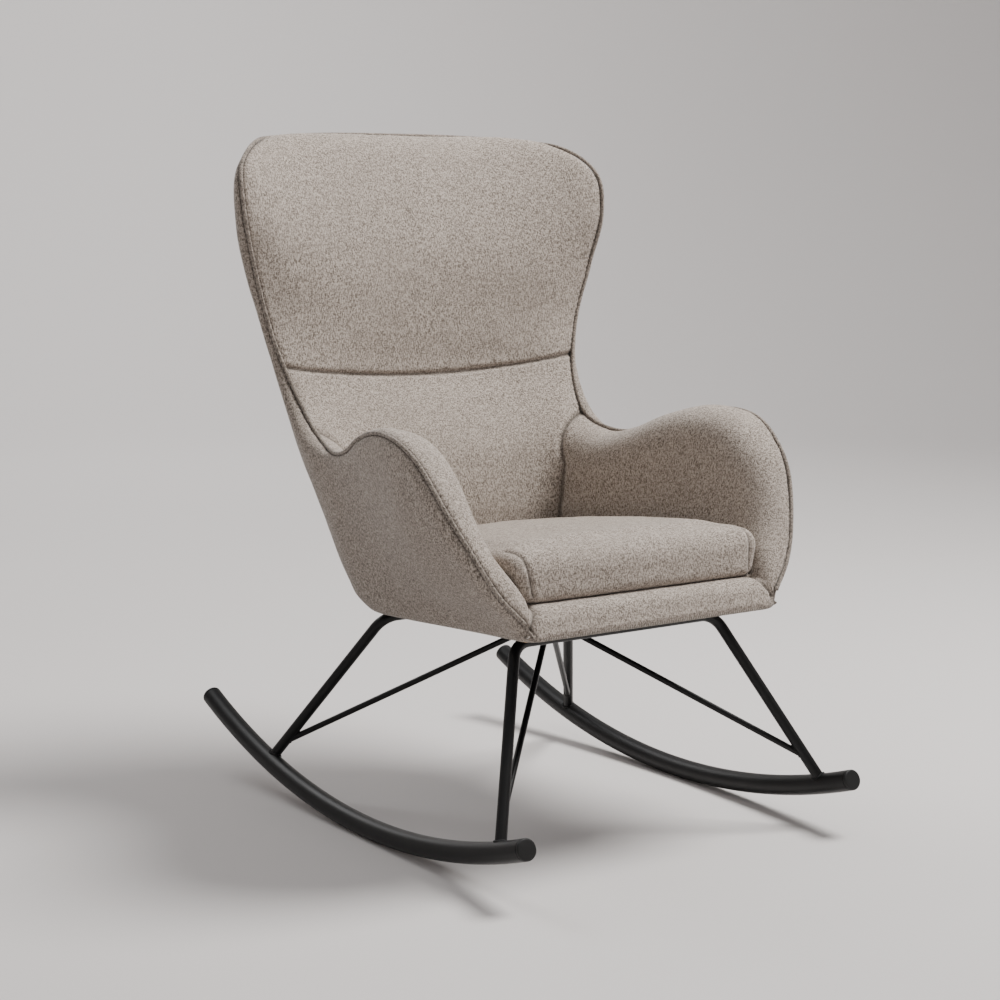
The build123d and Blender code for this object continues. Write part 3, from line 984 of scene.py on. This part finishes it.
# %% Cushion seams
def corner_seam(p):
    """Distance to the tucked seam at each front corner of the cushion."""
    x, y, z = np.abs(p[:, 0]), p[:, 1], p[:, 2]
    bend = 190.0 + 7.0 * np.clip((z - 385.0) / 50.0, -1, 1)
    far = np.full(len(p), 1e3)
    return np.where((y < -215.0) & (z < 441.0), np.abs(x - bend), far)


cushion_mesh = cushion.data
write_points(cushion_mesh, to_m(soft_points))
split_near(cushion_mesh, corner_seam(soft_points) < 12.0, 2, outwards=True)
soft_points = to_mm(read_points(cushion_mesh))
vertex_normals = np.empty(len(cushion_mesh.vertices) * 3)
cushion_mesh.vertices.foreach_get("normal", vertex_normals)
vertex_normals = vertex_normals.reshape(-1, 3)
corner = corner_seam(soft_points)
dent = 3.0 * np.exp(-((corner / 3.6) ** 2))
dent += slow_noise(soft_points, 120.0, 11) * 0.8 + slow_noise(soft_points, 45.0, 12) * 0.25
loose = step(soft_points[:, 2] - underside(soft_points[:, 1]), 50.0, 62.0)
soft_points = soft_points - vertex_normals * (dent * loose)[:, None]
write_points(cushion_mesh, to_m(soft_points))
# painted shade in the fold of the cushion's front corner seams
add_painted_seam_shade(cushion_mesh, np.exp(-((corner / 1.8) ** 2)) * loose)
shade_smooth(cushion_mesh)
cushion_mesh.materials.clear()
cushion_mesh.materials.append(cushion_cloth)
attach(cushion, "cushion")
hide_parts("cushion_cover", "cushion_core")
print("cushion has", len(cushion_mesh.polygons), "faces")

# %% [markdown]
# ## One recipe for everything round and bent
# Runners, legs, braces and piping are all a circle swept along a line.  The Geometry Nodes tree
# below takes the line, a radius and a number of sides, and closes both ends.


# %% Bar tree
def input_socket(tree, name):
    return next(item.identifier for item in tree.interface.items_tree if item.name == name)


def new_tree(name, inputs):
    """An empty tree with its named inputs; returns it with its input and output nodes."""
    tree = bpy.data.node_groups.new(name, "GeometryNodeTree")
    for label, kind in inputs.items():
        tree.interface.new_socket(label, in_out="INPUT", socket_type="NodeSocket" + kind)
    tree.interface.new_socket("Result", in_out="OUTPUT", socket_type="NodeSocketGeometry")
    return tree, tree.nodes.new("NodeGroupInput"), tree.nodes.new("NodeGroupOutput")


def painted(tree, given, out, geometry):
    """Set the finish and pass the result on."""
    paint = tree.nodes.new("GeometryNodeSetMaterial")
    tree.links.new(geometry, paint.inputs["Geometry"])
    tree.links.new(given.outputs["Finish"], paint.inputs["Material"])
    tree.links.new(paint.outputs[0], out.inputs[0])


def round_bar_tree():
    inputs = {"Path": "Geometry", "Radius": "Float", "Sides": "Int", "Finish": "Material"}
    tree, given, out = new_tree("round_bar", inputs)
    make = tree.nodes.new
    link = tree.links.new
    curve = make("GeometryNodeMeshToCurve")
    circle = make("GeometryNodeCurvePrimitiveCircle")
    swept = make("GeometryNodeCurveToMesh")
    smooth = make("GeometryNodeSetShadeSmooth")
    real = make("GeometryNodeRealizeInstances")
    link(given.outputs["Path"], curve.inputs[0])
    link(given.outputs["Radius"], circle.inputs["Radius"])
    link(given.outputs["Sides"], circle.inputs["Resolution"])
    link(curve.outputs[0], swept.inputs["Curve"])
    link(circle.outputs[0], swept.inputs["Profile Curve"])
    swept.inputs["Fill Caps"].default_value = True
    link(swept.outputs[0], smooth.inputs[0])
    link(smooth.outputs[0], real.inputs[0])
    painted(tree, given, out, real.outputs[0])
    return tree


def along_tree():
    """Small lumps set at even steps along a line: weld beads and staples."""
    inputs = {"Path": "Geometry", "Step": "Float", "Size": "Vector", "Seed": "Int"}
    tree, given, out = new_tree("lumps_along", {**inputs, "Finish": "Material"})
    make = tree.nodes.new
    link = tree.links.new
    curve = make("GeometryNodeMeshToCurve")
    spread = make("GeometryNodeCurveToPoints")
    spread.mode = "LENGTH"
    ball = make("GeometryNodeMeshUVSphere")
    ball.inputs["Segments"].default_value = 12
    ball.inputs["Rings"].default_value = 8
    ball.inputs["Radius"].default_value = 1.0
    place = make("GeometryNodeInstanceOnPoints")
    vary = make("FunctionNodeRandomValue")
    vary.data_type = "FLOAT"
    vary.inputs[2].default_value = 0.85
    vary.inputs[3].default_value = 1.12
    size = make("ShaderNodeVectorMath")
    size.operation = "SCALE"
    smooth = make("GeometryNodeSetShadeSmooth")
    real = make("GeometryNodeRealizeInstances")
    link(given.outputs["Path"], curve.inputs[0])
    link(curve.outputs[0], spread.inputs["Curve"])
    link(given.outputs["Step"], spread.inputs["Length"])
    link(given.outputs["Seed"], vary.inputs["Seed"])
    link(given.outputs["Size"], size.inputs[0])
    link(vary.outputs[1], size.inputs["Scale"])
    link(spread.outputs["Points"], place.inputs["Points"])
    link(spread.outputs["Rotation"], place.inputs["Rotation"])
    link(ball.outputs["Mesh"], place.inputs["Instance"])
    link(size.outputs[0], place.inputs["Scale"])
    link(place.outputs[0], real.inputs[0])
    link(real.outputs[0], smooth.inputs[0])
    painted(tree, given, out, smooth.outputs[0])
    return tree


BAR = round_bar_tree()
LUMPS = along_tree()


def from_lines(name, lines, tree, closed=False, **values):
    """Run a tree on one or more lines of points, and keep the result as a plain mesh."""
    verts = []
    edges = []
    for line in lines:
        start = len(verts)
        verts.extend(tuple(v) for v in line)
        edges.extend((i, i + 1) for i in range(start, len(verts) - 1))
        if closed:
            edges.append((len(verts) - 1, start))
    mesh = bpy.data.meshes.new(name)
    mesh.from_pydata(verts, edges, [])
    piece = new_piece(name, mesh)
    nodes = piece.modifiers.new("nodes", "NODES")
    nodes.node_group = tree
    for key, value in values.items():
        nodes[input_socket(tree, key)] = value
    piece = baked(piece)
    with edited(piece.data) as builder:
        bmesh.ops.remove_doubles(builder, verts=builder.verts, dist=1e-6)
        bmesh.ops.recalc_face_normals(builder, faces=builder.faces)
    return piece


def finish_piece(piece, body, slot_name, *nodes):
    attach(piece, body)
    if nodes:
        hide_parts(*nodes)
    print(piece.name, len(piece.data.polygons), "faces")


print("trees ready")

# %% [markdown]
# ## Piping
# A 6 mm cord in a strip of the same cloth, sewn between the inside and the outside covers.  A
# little more than half of it stands proud of the seam.

# %% Piping
piping_r_mm = 2.9
proud_mm = 0.6
cord_trim = 12                  # the cord stops at the rail's seam, above the very bottom
cord = slice(cord_trim, len(piping_line) - cord_trim)
piping_path = to_m(piping_line[cord] + piping_normal[cord] * proud_mm)
# painted shade: the cord's cloth is coloured darker than the covers' cloth
piping = from_lines("piping_cord", [piping_path], BAR, Radius=piping_r_mm / 1000, Sides=16,
                    Finish=piping_cloth)
finish_piece(piping, "chair", "piping_fabric", "piping")

# %% [markdown]
# ## Steel rockers and legs
# Each runner is a 30 mm tube bent to one radius.  A leg frame is a single 16 mm rod: up from one
# runner, across under the seat and down to the other.  Four thin braces run from the legs to a
# boss under the middle of the seat.


# %% Paths of the base
def arc_point(sweep):
    y = runner_r_mm * math.sin(sweep)
    z = tube_r_mm + runner_r_mm * (1 - math.cos(sweep))
    return y, z


def under(y, up):
    """A spot under the seat: y along the underside, up measured square to it."""
    tilt = math.atan(0.06)
    return y + up * math.sin(tilt), underside(y) + up * math.cos(tilt)


def rounded(corners, radius, steps=14):
    """Straight runs joined by arcs."""
    line = [corners[0]]
    for before, here, after in zip(corners, corners[1:], corners[2:]):
        a = (before - here).normalized()
        b = (after - here).normalized()
        half = 0.5 * a.angle(b)
        back = radius / math.tan(half)
        centre = here + (a + b).normalized() * (radius / math.sin(half))
        start = here + a * back - centre
        end = here + b * back - centre
        for i in range(steps + 1):
            spoke = start.lerp(end, i / steps).normalized()
            line.append(centre + spoke * radius)
    line.append(corners[-1])
    return line


runner_x = 285.0
rod_r_mm = 8.0
brace_r_mm = 4.5
LEGS = {
    "front": (math.radians(-16.45), -211.0, 176.0, 0.16),
    "rear": (math.radians(13.95), 134.0, 171.0, 0.13),
}
hub = Vector((0.0, *under(-50.0, -16.5)))
arc_steps = 72
for side, name in ((1, "left"), (-1, "right")):
    sweeps = np.linspace(-front_sweep, rear_sweep, arc_steps + 1)
    line = np.array([(side * runner_x, *arc_point(s)) for s in sweeps])
    tube = from_lines("runner_tube_" + name, [to_m(line)], BAR, Radius=tube_r_mm / 1000, Sides=48,
                      Finish=black_coat)
    finish_piece(tube, "chair", "black_steel", "runner_" + name)


def leg_spots(sweep, bar_y, bar_half, share):
    """Foot, knee and the start of the brace, on the sitter's left."""
    foot = Vector((runner_x, *arc_point(sweep)))
    knee = Vector((bar_half, *under(bar_y, -13.0)))
    return foot, knee, foot + (knee - foot) * share


for leg, measures in LEGS.items():
    foot, knee, start = leg_spots(*measures)
    flip = Vector((-1, 1, 1))
    corners = [foot * flip, knee * flip, knee, foot]
    bent = np.array([tuple(v) for v in rounded(corners, 34.0)])
    rod = from_lines(leg + "_leg_rod", [to_m(bent)], BAR, Radius=rod_r_mm / 1000, Sides=32,
                     Finish=black_coat)
    finish_piece(rod, "chair", "black_steel", leg + "_leg_frame")
    for side, name in ((1, "left"), (-1, "right")):
        turn = Vector((side, 1, 1))
        line = np.array([tuple(start * turn), tuple(hub * turn)])
        brace = from_lines(f"{leg}_brace_rod_{name}", [to_m(line)], BAR, Radius=brace_r_mm / 1000,
                           Sides=24, Finish=black_coat)
        finish_piece(brace, "chair", "black_steel", f"brace_{leg}_{name}")

# %% [markdown]
# ## Welds
# Where a rod lands on a tube the welder runs a bead around it.  The bead follows the curve where
# the two skins cross: a ring around the rod, pushed along the rod until it touches the tube.
# Small flattened lumps set close together along that ring make the ripples.


# %% Weld beads
def ring_on(start, along, rod_r, distance, count=40):
    """Ring around a rod, each point slid along the rod out to another bar's skin."""
    side = along.cross(Vector((0, 0, 1))).normalized()
    other = along.cross(side)
    ring = []
    for i in range(count):
        a = 2 * math.pi * i / count
        base = start + (side * math.cos(a) + other * math.sin(a)) * rod_r
        low = 0.0
        high = 60.0
        for _ in range(30):
            middle = 0.5 * (low + high)
            if distance(base + along * middle) < 0:
                low = middle
            else:
                high = middle
        ring.append(base + along * low)
    return ring


def runner_distance(p):
    centre_z = tube_r_mm + runner_r_mm
    ring_gap = math.hypot(p.y, p.z - centre_z) - runner_r_mm
    return math.hypot(abs(p.x) - runner_x, ring_gap) - tube_r_mm


def bar_distance(a, b, radius):
    along = (b - a).normalized()

    def distance(p):
        return ((p - a) - along * (p - a).dot(along)).length - radius

    return distance


thick_welds = []
thin_welds = []
for measures in LEGS.values():
    foot, knee, start = leg_spots(*measures)
    thick_welds.append(ring_on(foot, (knee - foot).normalized(), rod_r_mm + 0.6, runner_distance))
    skin = bar_distance(foot, knee, rod_r_mm)
    thin_welds.append(ring_on(start, (hub - start).normalized(), brace_r_mm + 0.3, skin))
for name, rings, size in (("leg_welds", thick_welds, 1.9), ("brace_welds", thin_welds, 1.2)):
    both = rings + [[v * Vector((-1, 1, 1)) for v in ring] for ring in rings]
    lines = [to_m(np.array([tuple(v) for v in ring])) for ring in both]
    shape = (size / 1000, size / 1000, 0.8 * size / 1000)
    beads = from_lines(name, lines, LUMPS, True, Step=1.1 * size / 1000, Size=shape, Seed=7,
                       Finish=black_coat)
    finish_piece(beads, "chair", "black_steel")

# %% [markdown]
# ## Plugs in the runner ends
# A turned shape: a spigot inside the tube, a fine groove where the plug meets the tube, and a
# face with a rounded rim that is very slightly domed.


# %% End plugs
def lathe(name, profile, centre, axis, finish, sides=48):
    """Spin a profile of (distance along axis, radius) about an axis."""
    side = axis.cross(Vector((1, 0, 0))).normalized()
    other = axis.cross(side)
    verts = []
    faces = []
    for along, radius in profile:
        for k in range(sides):
            a = 2 * math.pi * k / sides
            verts.append(centre + axis * along + (side * math.cos(a) + other * math.sin(a)) * radius)
    for r in range(len(profile) - 1):
        for k in range(sides):
            a = r * sides + k
            b = r * sides + (k + 1) % sides
            faces.append((a, b, b + sides, a + sides))
    faces.append(tuple(range(sides)))
    faces.append(tuple(range((len(profile) - 1) * sides, len(profile) * sides)))
    mesh = bpy.data.meshes.new(name)
    mesh.from_pydata([tuple(v) for v in verts], [], faces)
    with edited(mesh) as builder:
        bmesh.ops.recalc_face_normals(builder, faces=builder.faces)
    shade_smooth(mesh)
    mesh.materials.append(finish)
    return new_piece(name, mesh)


plug = [(-18.0, 11.6), (-17.0, 12.8), (0.2, 12.8), (0.3, 14.2), (0.8, 14.75), (1.2, 14.9), (3.0, 14.9),
        (4.1, 14.5), (4.7, 13.7), (4.95, 12.4), (5.0, 9.0), (5.0, 2.0)]
for end, sweep, outward in (("front", -front_sweep, -1), ("rear", rear_sweep, 1)):
    for side, name in ((1, "left"), (-1, "right")):
        y, z = arc_point(sweep)
        centre = Vector(to_m(np.array([side * runner_x, y, z])))
        axis = Vector((0, math.cos(sweep), math.sin(sweep))) * outward
        profile = [(a / 1000, r / 1000) for a, r in plug]
        piece = lathe(f"plug_{end}_{name}", profile, centre, axis, black_plastic)
        finish_piece(piece, "chair", "cap_plastic", f"runner_cap_{end}_{name}")

# %% [markdown]
# ## Staples
# The black dust cover under the seat is stapled on all round, about 35 mm apart.

# %% Staples
staple_inset = 20.0
staple_y = -40.0                # middle of the seat, where the search for the edge starts
ring = []
for a in np.linspace(0, 2 * math.pi, 241)[:-1]:
    reach = 0.0
    for r in np.arange(60.0, 320.0, 1.0):
        spot = np.array([[r * math.cos(a), staple_y + r * math.sin(a), 0.0]])
        spot[0, 2] = underside(spot[0, 1])
        if tub_distance(spot, OUTSIDE)[0] > -staple_inset or spot[0, 1] < rail_y + 8.0:
            break
        reach = r
    y = staple_y + reach * math.sin(a)
    ring.append((reach * math.cos(a), y, underside(y) - 0.1))
staples = from_lines("staples", [to_m(np.array(ring))], LUMPS, True, Step=0.035,
                     Size=(0.0006, 0.0006, 0.0055), Seed=3, Finish=zinc)
finish_piece(staples, "chair", "plated_steel")
